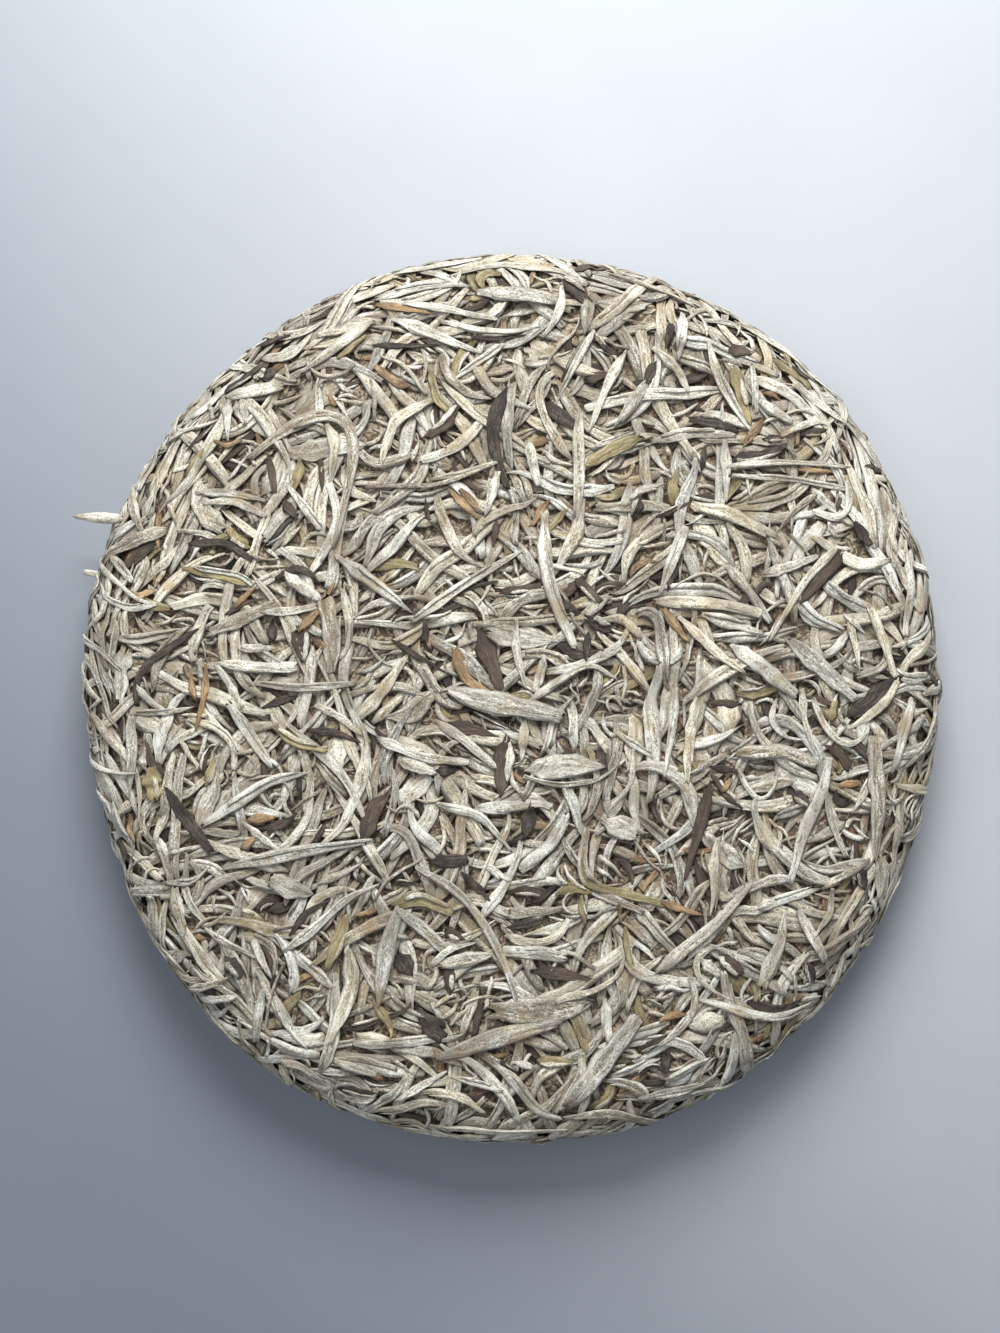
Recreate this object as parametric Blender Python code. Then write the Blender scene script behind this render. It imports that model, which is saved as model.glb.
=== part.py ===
"""A round pressed cake of white tea buds, made as one solid piece.

The cake is a thick disc with a slightly domed top, a rounded rim and a flat underside. Its outline is a
little uneven. Its whole surface is a relief of dried buds at true size, packed side by side in every
direction: a ridge runs along the middle of each bud and a groove lies between neighbours. Larger buds, each
a slim spindle, are fused on across them. One bud sticks out of the rim on the left and a short bud end peeps
out under it.
"""

import math
from itertools import permutations

import bmesh
import bpy
import numpy as np
from mathutils import Vector
from mathutils.geometry import delaunay_2d_cdt

MM = 0.001

# Size of the cake, over the outer skin that the tops of the buds reach
MEAN_RADIUS = 99.4 * MM
THICKNESS = 26.0 * MM
DOME_RISE = 1.6 * MM
UPPER_ROUND_IN = 15.0 * MM
UPPER_ROUND_DOWN = 12.0 * MM
LOWER_ROUND_IN = 12.0 * MM
LOWER_ROUND_UP = 10.0 * MM

# Unevenness of the outline: waves round the cake, their height and the bearing of a crest in degrees
OUTLINE_WAVES = (
    (2, 2.1 * MM, 86.0),
    (3, 0.5 * MM, 36.0),
    (4, 0.3 * MM, -41.0),
    (5, 0.45 * MM, 21.0),
    (6, 0.35 * MM, -11.0),
)

# Relief of packed buds: their number on the upper and lower part, and their length, the largest placed first
UPPER_BUDS = 330
LOWER_BUDS = 190
BUD_LENGTH_LARGE = 34.0 * MM
BUD_LENGTH_SMALL = 17.0 * MM
BOW_SHARE = 0.08

# Ridge of a bud: shares of its length that have a point, and their heights over the skin
SPINE_SHARES = (0.03, 0.34, 0.67, 0.98)
SPINE_HEIGHTS = (-0.55 * MM, 0.0, -0.1 * MM, -0.7 * MM)

# Groove between neighbours: its depth, and how much deeper it gets where they are further apart
GROOVE_DEPTH = 0.9 * MM
GROOVE_SLOPE = 0.5
GROOVE_DEEPEST = 2.3 * MM
GROOVE_GAP = 5.2 * MM

# Search for the places of the packed buds: the grid of the chart, how far round a bud its distances are
# entered, the number of random places tried for a bud and of points looked at along it
CHART_STEP = 0.8 * MM
MIDWAY_SHARE = 1.5
MAP_REACH = 14.0 * MM
PLACE_TRIES = 400
PLACE_SAMPLES = 7
# Spread of the rim buds' heading about the tangent, in radians
RIM_LEAN = 0.6

# The seam where the upper and the lower part of the relief meet, low on the side
SEAM_POINTS = 84
SEAM_MARGIN = 2.2 * MM
SEAM_DEPTH = 1.4 * MM

# Larger buds fused on across the relief
TOP_LAID_BUDS = 22
RIM_LAID_BUDS = 15
# The rim's ones lie from this far outside the flat of the top to this far below the seam
RIM_LAID_FROM = 8.0 * MM
RIM_LAID_PAST = 5.0 * MM
LAID_LENGTH = (26.0 * MM, 37.0 * MM)
LAID_WIDTH = (3.6 * MM, 5.0 * MM)
LAID_RISE = 0.6 * MM
LAID_SHIFT = 0.15
GOLDEN_ANGLE = math.pi * (3.0 - math.sqrt(5.0))
LAID_SIDES = 4
LAID_FLATNESS = 0.62
# Their half width along the length, as shares of the full half width: a blunt foot, a full belly, the tip
LAID_STATIONS = ((0.0, 0.5), (0.36, 1.0), (0.76, 0.66))
TIP_SHARE = 1.0

# The middle of the underside is pressed smooth and level, out to this radius
PRESSED_RADIUS = 13.0 * MM
SEED = 41

# The bud that sticks out on the left, and the short end beside it
PROTRUDING_ROOT = Vector((-82.0, 40.0, 12.5)) * MM
PROTRUDING_TIP = Vector((-98.9, 41.0, 14.5)) * MM
PROTRUDING_WIDTH = 2.7 * MM
SHORT_END_ROOT = Vector((-88.0, 27.0, 12.0)) * MM
SHORT_END_TIP = Vector((-97.0, 28.6, 12.6)) * MM
SHORT_END_WIDTH = 2.4 * MM

PROFILE_STEP = 1.0 * MM
TOUCH = 1e-7
SMOOTH_ANGLE = math.radians(28.0)
BUD_COLOUR = (0.42, 0.39, 0.31, 1.0)
BUD_ROUGHNESS = 0.88


def outline_scale(bearing):
    """Radius of the cake at a bearing, as a share of its mean radius."""
    radius = MEAN_RADIUS
    for count, height, crest in OUTLINE_WAVES:
        radius += height * math.cos(count * (bearing - math.radians(crest)))
    return radius / MEAN_RADIUS


def quarter_round(radius_from, z_from, radius_step, z_step, outward_first, steps=12):
    """Points of a quarter ellipse from one point to the point radius_step and z_step further on."""
    points = []
    for i in range(1, steps + 1):
        turn = 0.5 * math.pi * i / steps
        late, early = 1.0 - math.cos(turn), math.sin(turn)
        across, down = (early, late) if outward_first else (late, early)
        points.append((radius_from + radius_step * across, z_from + z_step * down))
    return points


def cake_profile():
    """Half section of the skin as (radius, z) from the middle of the top to the middle of the underside."""
    flat_radius = MEAN_RADIUS - UPPER_ROUND_IN
    points = []
    steps = int(flat_radius / PROFILE_STEP)
    for i in range(steps + 1):
        share = i / steps
        points.append((flat_radius * share, THICKNESS - DOME_RISE * share * share))
    shoulder_z = THICKNESS - DOME_RISE
    points += quarter_round(flat_radius, shoulder_z, UPPER_ROUND_IN, -UPPER_ROUND_DOWN, True)
    points.append((MEAN_RADIUS, LOWER_ROUND_UP))
    points += quarter_round(MEAN_RADIUS, LOWER_ROUND_UP, -LOWER_ROUND_IN, -LOWER_ROUND_UP, False)
    points.append((0.0, 0.0))
    return points


PROFILE = cake_profile()


def profile_lengths():
    """Distance along the profile to each of its points."""
    lengths = [0.0]
    for (r0, z0), (r1, z1) in zip(PROFILE, PROFILE[1:]):
        lengths.append(lengths[-1] + math.hypot(r1 - r0, z1 - z0))
    return lengths


LENGTHS = profile_lengths()
TOTAL_LENGTH = LENGTHS[-1]


def profile_point(distance):
    """Radius, z and outward normal of the profile at a distance along it."""
    distance = min(max(distance, 0.0), TOTAL_LENGTH - TOUCH)
    k = 0
    while LENGTHS[k + 1] < distance:
        k += 1
    (r0, z0), (r1, z1) = PROFILE[k], PROFILE[k + 1]
    span = LENGTHS[k + 1] - LENGTHS[k]
    share = (distance - LENGTHS[k]) / span
    return r0 + (r1 - r0) * share, z0 + (z1 - z0) * share, -(z1 - z0) / span, (r1 - r0) / span


def skin_point(x, y, from_top):
    """Point and outward normal of the skin at a place on a chart unrolled from the middle of one side."""
    distance = math.hypot(x, y)
    bearing = math.atan2(y, x)
    along = distance if from_top else TOTAL_LENGTH - distance
    radius, z, out, up = profile_point(along)
    radius *= outline_scale(bearing)
    normal = Vector((out * math.cos(bearing), out * math.sin(bearing), up))
    return Vector((radius * math.cos(bearing), radius * math.sin(bearing), z)), normal.normalized()


def closed_tube(name, rings, tip):
    """Solid through rings of points, with a flat end at the first ring and a pointed tip after the last."""
    mesh = bmesh.new()
    loops = [[mesh.verts.new(point) for point in ring] for ring in rings]
    apex = mesh.verts.new(tip)
    sides = len(rings[0])
    mesh.faces.new(list(reversed(loops[0])))
    for lower, upper in zip(loops, loops[1:]):
        for i in range(sides):
            j = (i + 1) % sides
            mesh.faces.new((lower[i], lower[j], upper[j], upper[i]))
    for i in range(sides):
        j = (i + 1) % sides
        mesh.faces.new((loops[-1][i], loops[-1][j], apex))
    bmesh.ops.recalc_face_normals(mesh, faces=mesh.faces)
    data = bpy.data.meshes.new(name)
    mesh.to_mesh(data)
    mesh.free()
    return bpy.data.objects.new(name, data)


def ring_round(centre, forward, normal, half_width, half_height):
    """Ring of points round a bud, a little flatter than wide, with an edge along its top."""
    side = normal.cross(forward).normalized()
    points = []
    for i in range(LAID_SIDES):
        turn = 2.0 * math.pi * (i / LAID_SIDES + 0.25)
        points.append(centre + side * (half_width * math.cos(turn)) + normal * (half_height * math.sin(turn)))
    return points


def laid_bud(name, x, y, heading, length, width, bow):
    """Bud fused on along a slightly bowed line on the chart, its top a little above the skin."""
    half_height = 0.5 * width * LAID_FLATNESS
    places = []
    for share in [share for share, _ in LAID_STATIONS] + [TIP_SHARE]:
        run = (share - 0.5) * length
        swing = bow * (1.0 - (2.0 * share - 1.0) ** 2)
        place, normal = skin_point(
            x + run * math.cos(heading) - swing * math.sin(heading),
            y + run * math.sin(heading) + swing * math.cos(heading),
            True,
        )
        places.append((place + normal * (LAID_RISE - half_height), normal))
    rings = []
    for k, (_, fullness) in enumerate(LAID_STATIONS):
        centre, normal = places[k]
        forward = (places[k + 1][0] - places[max(k - 1, 0)][0]).normalized()
        sunk = centre - normal * (half_height * (1.0 - fullness))
        rings.append(ring_round(sunk, forward, normal, 0.5 * width * fullness, half_height * fullness))
    tip, tip_normal = places[-1]
    return closed_tube(name, rings, tip - tip_normal * half_height)


def straight_bud(name, root, tip, width):
    """Bud that runs straight from a root inside the cake to a tip outside it."""
    forward = (tip - root).normalized()
    upward = Vector((0.0, 0.0, 1.0))
    rings = []
    for share, fullness in LAID_STATIONS:
        centre = root + (tip - root) * share
        half_width = 0.5 * width * fullness
        rings.append(ring_round(centre, forward, upward, half_width, half_width * LAID_FLATNESS))
    return closed_tube(name, rings, tip)


def bud_spines(x, y, heading, length, bow, shares):
    """Places at the given shares along the slightly bowed middle lines of one or more buds on the chart."""
    run = (shares - 0.5) * length
    swing = bow * (1.0 - (2.0 * shares - 1.0) ** 2)
    along, across = np.cos(heading), np.sin(heading)
    return np.stack([x + run * along - swing * across, y + run * across + swing * along], axis=-1)


def line_distance(grid, spine):
    """Distance from each place of a grid to a bud's middle line."""
    nearest = np.full(grid.shape[:-1], np.inf)
    for start, end in zip(spine, spine[1:]):
        step = end - start
        share = np.clip(((grid - start) @ step) / (step @ step), 0.0, 1.0)
        gap = grid - start - share[..., None] * step
        nearest = np.minimum(nearest, np.sqrt((gap * gap).sum(axis=-1)))
    return nearest


def add_to_maps(near, second, grid, spine, outer):
    """Enters a bud in the maps of the distance to the nearest and second nearest bud, near that bud."""
    low = np.floor((spine.min(axis=0) - MAP_REACH + outer) / CHART_STEP).astype(int)
    high = np.ceil((spine.max(axis=0) + MAP_REACH + outer) / CHART_STEP).astype(int)
    window = tuple(slice(max(int(a), 0), int(b) + 1) for a, b in zip(low, high))
    distance = line_distance(grid[window], spine)
    second[window] = np.minimum(second[window], np.maximum(near[window], distance))
    near[window] = np.minimum(near[window], distance)


def pack_buds(count, outer, flat_radius, rng):
    """Middle lines of buds packed on a chart, the largest first, each where it has most room.

    Also gives the chart's grid and two maps of it: the distance to the nearest and the second nearest bud.
    """
    ticks = np.arange(-outer, outer + CHART_STEP, CHART_STEP)
    grid = np.stack(np.meshgrid(ticks, ticks, indexing="ij"), axis=-1)
    near = np.full(grid.shape[:-1], MAP_REACH)
    second = near.copy()
    sample_shares = np.linspace(0.0, 1.0, PLACE_SAMPLES)[None, :]
    spines = []
    for k in range(count):
        smallness = (k + 0.5) / count
        length = BUD_LENGTH_LARGE + (BUD_LENGTH_SMALL - BUD_LENGTH_LARGE) * smallness
        reach = np.sqrt(rng.uniform(0.0, 1.0, PLACE_TRIES)) * outer
        bearing = rng.uniform(-math.pi, math.pi, PLACE_TRIES)
        heading = rng.uniform(0.0, 2.0 * math.pi, PLACE_TRIES)
        lean = rng.normal(0.0, RIM_LEAN, PLACE_TRIES)
        turn_back = math.pi * np.round(rng.uniform(0.0, 1.0, PLACE_TRIES))
        heading = np.where(reach > flat_radius, bearing + 0.5 * math.pi + lean + turn_back, heading)
        bow = rng.normal(0.0, BOW_SHARE, PLACE_TRIES) * length
        x, y = reach * np.cos(bearing), reach * np.sin(bearing)
        tries = [value[:, None] for value in (x, y, heading)]
        samples = bud_spines(*tries, length, bow[:, None], sample_shares)
        places = np.clip(np.round((samples + outer) / CHART_STEP).astype(int), 0, len(ticks) - 1)
        room = near[places[..., 0], places[..., 1]].min(axis=1)
        edge_room = (outer - SEAM_MARGIN - np.sqrt((samples * samples).sum(axis=-1))).min(axis=1)
        room = np.where(edge_room > 0.0, room, -1.0)
        best = int(room.argmax())
        spine = bud_spines(x[best], y[best], heading[best], length, bow[best], np.array(SPINE_SHARES))
        add_to_maps(near, second, grid, spine, outer)
        spines.append(spine)
    return spines, grid, near, second


def groove_places(grid, near, second, outer):
    """Places midway between neighbouring buds, the widest first, and their distance to the nearest bud."""
    reach = np.sqrt((grid * grid).sum(axis=-1))
    between = (second - near < MIDWAY_SHARE * CHART_STEP) & (near > CHART_STEP)
    midway = between & (reach < outer - SEAM_MARGIN)
    places, gaps = grid[midway], near[midway]
    order = np.argsort(-gaps, kind="stable")
    chosen = []
    for k in order:
        if all(math.hypot(*(places[k] - places[c])) > GROOVE_GAP for c in chosen):
            chosen.append(int(k))
    return places[chosen], gaps[chosen]


def relief_sheet(mesh, seam, count, outer, flat_radius, from_top, rng):
    """One part of the cake's surface inside the seam, a net of triangles between ridges and grooves."""
    spines, grid, near, second = pack_buds(count, outer, flat_radius, rng)
    grooves, gaps = groove_places(grid, near, second, outer)
    places, heights, edges = [], [], []
    for i in range(SEAM_POINTS):
        bearing = 2.0 * math.pi * i / SEAM_POINTS
        places.append((outer * math.cos(bearing), outer * math.sin(bearing)))
        heights.append(0.0)
        edges.append((i, (i + 1) % SEAM_POINTS))
    for spine in spines:
        for k, place in enumerate(spine):
            if k:
                edges.append((len(places) - 1, len(places)))
            places.append(tuple(place))
            heights.append(SPINE_HEIGHTS[k])
    for place, gap in zip(grooves, gaps):
        places.append(tuple(place))
        heights.append(-min(GROOVE_DEPTH + GROOVE_SLOPE * gap, GROOVE_DEEPEST))
    net = delaunay_2d_cdt([Vector(place) for place in places], edges, [], 0, TOUCH)
    net_places, net_faces, sources = net[0], net[2], net[3]
    verts = []
    for place, source in zip(net_places, sources):
        if source and source[0] < SEAM_POINTS:
            verts.append(seam[source[0]])
            continue
        height = heights[source[0]] if source else SPINE_HEIGHTS[0]
        if not from_top and place.length < PRESSED_RADIUS:
            height = 0.0
        point, normal = skin_point(place.x, place.y, from_top)
        verts.append(mesh.verts.new(point + normal * height))
    for face in net_faces:
        corners = [verts[i] for i in face]
        if not from_top:
            corners.reverse()
        mesh.faces.new(corners)


def relief_body(name, rng):
    """Closed body with the relief of packed buds all over: an upper and a lower sheet that share a seam."""
    flat_top = MEAN_RADIUS - UPPER_ROUND_IN
    flat_under = MEAN_RADIUS - LOWER_ROUND_IN
    widest = [length for length, (radius, _) in zip(LENGTHS, PROFILE) if radius > MEAN_RADIUS - TOUCH]
    seam_length = max(widest)
    mesh = bmesh.new()
    seam = []
    for i in range(SEAM_POINTS):
        bearing = 2.0 * math.pi * i / SEAM_POINTS
        x, y = seam_length * math.cos(bearing), seam_length * math.sin(bearing)
        point, normal = skin_point(x, y, True)
        seam.append(mesh.verts.new(point - normal * SEAM_DEPTH))
    relief_sheet(mesh, seam, UPPER_BUDS, seam_length, flat_top, True, rng)
    relief_sheet(mesh, seam, LOWER_BUDS, TOTAL_LENGTH - seam_length, flat_under, False, rng)
    bmesh.ops.recalc_face_normals(mesh, faces=mesh.faces)
    data = bpy.data.meshes.new(name)
    mesh.to_mesh(data)
    mesh.free()
    return bpy.data.objects.new(name, data), flat_top, seam_length


def laid_buds(zone, count, inner, outer, lean, rng):
    """Larger buds spread evenly over a ring of the chart."""
    buds = []
    for k in range(count):
        share = (k + 0.5) / count
        reach = math.sqrt(inner * inner + (outer * outer - inner * inner) * share)
        bearing = k * GOLDEN_ANGLE + rng.uniform(-LAID_SHIFT, LAID_SHIFT)
        heading = rng.uniform(0.0, 2.0 * math.pi)
        if lean is not None:
            heading = bearing + 0.5 * math.pi + rng.normal(0.0, lean) + math.pi * rng.integers(0, 2)
        length = rng.uniform(*LAID_LENGTH)
        width = rng.uniform(*LAID_WIDTH)
        bow = rng.normal(0.0, BOW_SHARE) * length
        x, y = reach * math.cos(bearing), reach * math.sin(bearing)
        buds.append(laid_bud(f"{zone}_bud_{k}", x, y, heading, length, width, bow))
    return buds


def join_solids(body, others):
    """Joins a group of solids to the body and then removes them."""
    group = bpy.data.collections.new("group")
    bpy.context.scene.collection.children.link(group)
    for other in others:
        group.objects.link(other)
    modifier = body.modifiers.new("join", "BOOLEAN")
    modifier.operation = "UNION"
    modifier.solver = "MANIFOLD"
    modifier.operand_type = "COLLECTION"
    modifier.collection = group
    bpy.context.view_layer.update()
    evaluated = body.evaluated_get(bpy.context.evaluated_depsgraph_get())
    data = bpy.data.meshes.new_from_object(evaluated)
    body.modifiers.remove(modifier)
    body.data = data
    for other in others:
        bpy.data.objects.remove(other)
    bpy.data.collections.remove(group)


def opposite_corner(face, start, end):
    """The third corner of a triangle that runs from start to end, or None if it runs the other way round."""
    corners = list(face.verts)
    k = corners.index(start)
    return corners[(k + 2) % 3] if corners[(k + 1) % 3] == end else None


def turn_shared_diagonals(mesh):
    """Turns the diagonal between two triangles of one plane where four faces meet in it."""
    for edge in [edge for edge in mesh.edges if len(edge.link_faces) == 4]:
        start, end = edge.verts
        pairs = permutations(edge.link_faces, 2)
        for first, second in sorted(pairs, key=lambda pair: pair[0].normal.angle(pair[1].normal, 0.0)):
            left, right = opposite_corner(first, start, end), opposite_corner(second, end, start)
            if left is None or right is None or mesh.edges.get((left, right)):
                continue
            corners = ((end, left, right), (left, start, right))
            normals = [(b.co - a.co).cross(c.co - a.co) for a, b, c in corners]
            if min(normal.dot(first.normal) for normal in normals) > 0.0:
                bmesh.ops.delete(mesh, geom=[first, second], context="FACES_ONLY")
                for triangle in corners:
                    mesh.faces.new(triangle)
                break


def keep_largest_piece(body):
    """Keeps the one piece with the most faces, so that loose scraps and sealed hollows go."""
    mesh = bmesh.new()
    mesh.from_mesh(body.data)
    left = set(mesh.verts)
    pieces = []
    while left:
        piece = set()
        stack = [left.pop()]
        while stack:
            vert = stack.pop()
            piece.add(vert)
            for edge in vert.link_edges:
                other = edge.other_vert(vert)
                if other in left:
                    left.remove(other)
                    stack.append(other)
        pieces.append(piece)
    pieces.sort(key=len)
    for piece in pieces[:-1]:
        bmesh.ops.delete(mesh, geom=list(piece), context="VERTS")
    between = [vert for vert in mesh.verts if len(vert.link_edges) == 2]
    spare = [vert for vert in between if all(len(face.verts) > 3 for face in vert.link_faces)]
    bmesh.ops.dissolve_verts(mesh, verts=spare)
    bmesh.ops.triangulate(mesh, faces=mesh.faces)
    turn_shared_diagonals(mesh)
    mesh.to_mesh(body.data)
    mesh.free()


def centre_on_ground(body):
    """Moves the mesh so that the middle of the underside of its box is at the origin."""
    points = [vert.co for vert in body.data.vertices]
    low = [min(point[i] for point in points) for i in range(3)]
    high = [max(point[i] for point in points) for i in range(3)]
    shift = Vector((0.5 * (low[0] + high[0]), 0.5 * (low[1] + high[1]), low[2]))
    for vert in body.data.vertices:
        vert.co -= shift


def bud_material():
    """Pale, dry, downy tea buds."""
    material = bpy.data.materials.new("tea_buds")
    material.use_nodes = True
    shader = material.node_tree.nodes["Principled BSDF"]
    shader.inputs["Base Color"].default_value = BUD_COLOUR
    shader.inputs["Roughness"].default_value = BUD_ROUGHNESS
    shader.inputs["Metallic"].default_value = 0.0
    return material


def tea_cake():
    """The whole cake: the relief with the larger buds fused on, standing on the ground."""
    rng = np.random.default_rng(SEED)
    body, flat_top, seam_length = relief_body("tea_cake", rng)
    bpy.context.scene.collection.objects.link(body)
    buds = laid_buds("top", TOP_LAID_BUDS, 0.0, flat_top, None, rng)
    rim_from, rim_to = flat_top + RIM_LAID_FROM, seam_length + RIM_LAID_PAST
    buds += laid_buds("rim", RIM_LAID_BUDS, rim_from, rim_to, RIM_LEAN, rng)
    buds.append(straight_bud("left_bud", PROTRUDING_ROOT, PROTRUDING_TIP, PROTRUDING_WIDTH))
    buds.append(straight_bud("short_end", SHORT_END_ROOT, SHORT_END_TIP, SHORT_END_WIDTH))
    join_solids(body, buds)
    keep_largest_piece(body)
    centre_on_ground(body)
    body.data.materials.clear()
    body.data.materials.append(bud_material())
    body.data.shade_smooth()
    body.data.set_sharp_from_angle(angle=SMOOTH_ANGLE)
    return body


def main():
    for thing in list(bpy.data.objects):
        bpy.data.objects.remove(thing)
    tea_cake()


main()
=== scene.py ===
"""The looks of a pressed cake of silver needle white tea.

Each bud has a mesh of its own shape and size. The buds are dropped one after another on a height map of the
unrolled cake, so that each one bends over those beneath it. Then all are pressed level and wrapped round it.
Lengths are in millimetres up to the meshes, which are in metres.
"""

import math
from collections import namedtuple

import bpy
import numpy as np
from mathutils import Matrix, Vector


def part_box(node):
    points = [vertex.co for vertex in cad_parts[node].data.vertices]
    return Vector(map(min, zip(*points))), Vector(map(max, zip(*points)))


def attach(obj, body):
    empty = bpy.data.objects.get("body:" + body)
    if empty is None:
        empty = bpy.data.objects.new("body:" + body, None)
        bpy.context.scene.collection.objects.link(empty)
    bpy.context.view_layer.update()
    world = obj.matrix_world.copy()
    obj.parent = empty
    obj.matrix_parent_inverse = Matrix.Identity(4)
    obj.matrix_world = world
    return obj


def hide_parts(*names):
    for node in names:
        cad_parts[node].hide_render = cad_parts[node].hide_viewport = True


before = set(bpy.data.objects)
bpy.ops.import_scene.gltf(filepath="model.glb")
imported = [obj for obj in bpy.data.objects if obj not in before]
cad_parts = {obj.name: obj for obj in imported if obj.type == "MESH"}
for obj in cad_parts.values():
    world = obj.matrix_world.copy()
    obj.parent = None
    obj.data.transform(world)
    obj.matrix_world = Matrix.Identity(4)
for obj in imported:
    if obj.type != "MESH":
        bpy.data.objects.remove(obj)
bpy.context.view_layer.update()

MM = 0.001
NODE = "tea_cake"
BODY = "root"
SEED = 7

# Waves of the outline round the cake: count, height and the bearing of a crest in degrees
OUTLINE_WAVES = ((2, 2.1, 86.0), (3, 0.5, 36.0), (4, 0.3, -41.0), (5, 0.45, 21.0), (6, 0.35, -11.0))

# Section of the cake: how much the top rises in the middle, how far its rounds reach inwards and up or down,
# and how far the uppermost buds rise over the skin
DOME_RISE = 1.6
UPPER_ROUND = (15.0, 12.0)
LOWER_ROUND = (12.0, 10.0)
LAID_RISE = 0.6

# The photograph: its size and the middle of the cake in pixels, and millimetres a pixel at the rim's height
PHOTO_WIDTH, PHOTO_HEIGHT = 1000, 1333
CAKE_MIDDLE_PX = (512, 698)
PHOTO_SCALE = 0.2283
RIM_HEIGHT = 8.5
LENS, SENSOR = 50.0, 36.0
EYE_HEIGHT = RIM_HEIGHT + LENS / SENSOR * PHOTO_HEIGHT * PHOTO_SCALE
EYE_FROM_MIDDLE = (
    (0.5 * PHOTO_WIDTH - CAKE_MIDDLE_PX[0]) * PHOTO_SCALE,
    (CAKE_MIDDLE_PX[1] - 0.5 * PHOTO_HEIGHT) * PHOTO_SCALE,
)


def outline_height(bearing):
    """How far the outline stands out of its mean circle at a bearing, in millimetres."""
    total = 0.0
    for count, height, crest in OUTLINE_WAVES:
        total = total + height * np.cos(count * (bearing - math.radians(crest)))
    return total


# The cake's size and middle, from the frame. The left side has a bud that juts out, so the right one counts.
low, high = [np.array(corner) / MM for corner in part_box(NODE)]
THICKNESS = high[2] - low[2] - LAID_RISE
EAST, NORTH, SOUTH = [float(outline_height(turn * math.pi)) for turn in (0.0, 0.5, -0.5)]
MEAN_RADIUS = 0.5 * (high[1] - low[1] - NORTH - SOUTH)
MIDDLE = np.array([high[0] - MEAN_RADIUS - EAST, high[1] - MEAN_RADIUS - NORTH])
FLAT_TOP = MEAN_RADIUS - UPPER_ROUND[0]
FLAT_UNDER = MEAN_RADIUS - LOWER_ROUND[0]


def cake_section(step=0.5, points=160):
    """Half section of the skin, top middle to underside middle: distance along it, radius, z and normal."""
    share = np.linspace(0.0, 1.0, points)
    turn = 0.5 * math.pi * share[1:]
    shoulder = THICKNESS - DOME_RISE
    to_side, to_end = np.sin(turn), 1.0 - np.cos(turn)
    radius = np.concatenate([
        FLAT_TOP * share, FLAT_TOP + UPPER_ROUND[0] * to_side, [MEAN_RADIUS],
        MEAN_RADIUS - LOWER_ROUND[0] * to_end, [0.0],
    ])
    height = np.concatenate([
        THICKNESS - DOME_RISE * share**2, shoulder - UPPER_ROUND[1] * to_end, [LOWER_ROUND[1]],
        LOWER_ROUND[1] * (1.0 - to_side), [0.0],
    ])
    along = np.concatenate([[0.0], np.cumsum(np.hypot(np.diff(radius), np.diff(height)))])
    even = np.arange(0.0, along[-1], step)
    radius, height = np.interp(even, along, radius), np.interp(even, along, height)
    out, up = -np.gradient(height), np.gradient(radius)
    size = np.hypot(out, up)
    return even, radius, height, out / size, up / size


SECTION = cake_section()
TOTAL_LENGTH = SECTION[0][-1]
SEAM = float(np.interp(THICKNESS - LOWER_ROUND[1], THICKNESS - SECTION[2], SECTION[0]))


def wrap(x, y, lift, from_top):
    """Points of the cake for places on the chart unrolled from the top's or the underside's middle."""
    distance = np.hypot(x, y)
    bearing = np.arctan2(y, x)
    along = distance if from_top else TOTAL_LENGTH - distance
    radius, height, out, up = [np.interp(along, SECTION[0], values) for values in SECTION[1:]]
    reach = radius * (1.0 + outline_height(bearing) / MEAN_RADIUS) + out * lift
    x, y = MIDDLE[0] + reach * np.cos(bearing), MIDDLE[1] + reach * np.sin(bearing)
    return np.stack([x, y, height + up * lift], -1)


def chart_place(pixel, rounds=6):
    """Place on the top's chart of what the photograph shows at a pixel, found in a few rounds."""
    side = SECTION[0] < SEAM
    height = THICKNESS
    for _ in range(rounds):
        scale = PHOTO_SCALE * (EYE_HEIGHT - height) / (EYE_HEIGHT - RIM_HEIGHT)
        x = EYE_FROM_MIDDLE[0] + (pixel[0] - 0.5 * PHOTO_WIDTH) * scale
        y = EYE_FROM_MIDDLE[1] + (0.5 * PHOTO_HEIGHT - pixel[1]) * scale
        bearing = math.atan2(y, x)
        share = math.hypot(x, y) / (1.0 + float(outline_height(bearing)) / MEAN_RADIUS)
        along = float(np.interp(share, SECTION[1][side], SECTION[0][side]))
        height = float(np.interp(along, SECTION[0], SECTION[2]))
    return along * math.cos(bearing), along * math.sin(bearing)


# Kinds of buds and scales: the name of their piece, the range of their length and width, how thick they are
# for their width, how bowed, how blunt their foot is, how high their folds stand and how far their middle
# sinks. Then the rings along them and the points round their upper and lower half, in full and plain detail
Kind = namedtuple("Kind", "piece length width thick bow blunt fold hollow detail plain")
KINDS = {
    "bud": Kind("silver_buds", (10, 36), (1.7, 3.9), 0.42, 0.42, 0.5, 0.22, 0.0, (20, 9, 2), (11, 5, 2)),
    "sheet": Kind("opened_leaves", (8, 19), (3.6, 6.4), 0.12, 0.35, 0.6, 0.38, 0.3, (16, 11, 2), (11, 6, 2)),
    "chip": Kind("bud_chips", (3.5, 15), (0.7, 1.8), 0.50, 0.55, 0.6, 0.15, 0.1, (10, 4, 2), (8, 3, 2)),
    "dark": Kind("dark_scales", (6, 19), (1.4, 3.4), 0.26, 0.50, 0.3, 0.24, 0.7, (16, 8, 2), (10, 5, 2)),
    "olive": Kind("olive_leaves", (6, 18), (1.8, 4.0), 0.30, 0.42, 0.4, 0.22, 0.4, (16, 8, 2), (10, 5, 2)),
    "tan": Kind("tan_scales", (4, 12), (1.3, 3.2), 0.32, 0.45, 0.4, 0.20, 0.4, (14, 7, 2), (9, 4, 2)),
    "stem": Kind("thin_stems", (8, 24), (0.8, 1.5), 0.85, 0.80, 0.8, 0.06, 0.0, (16, 4, 2), (11, 3, 2)),
}

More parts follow.
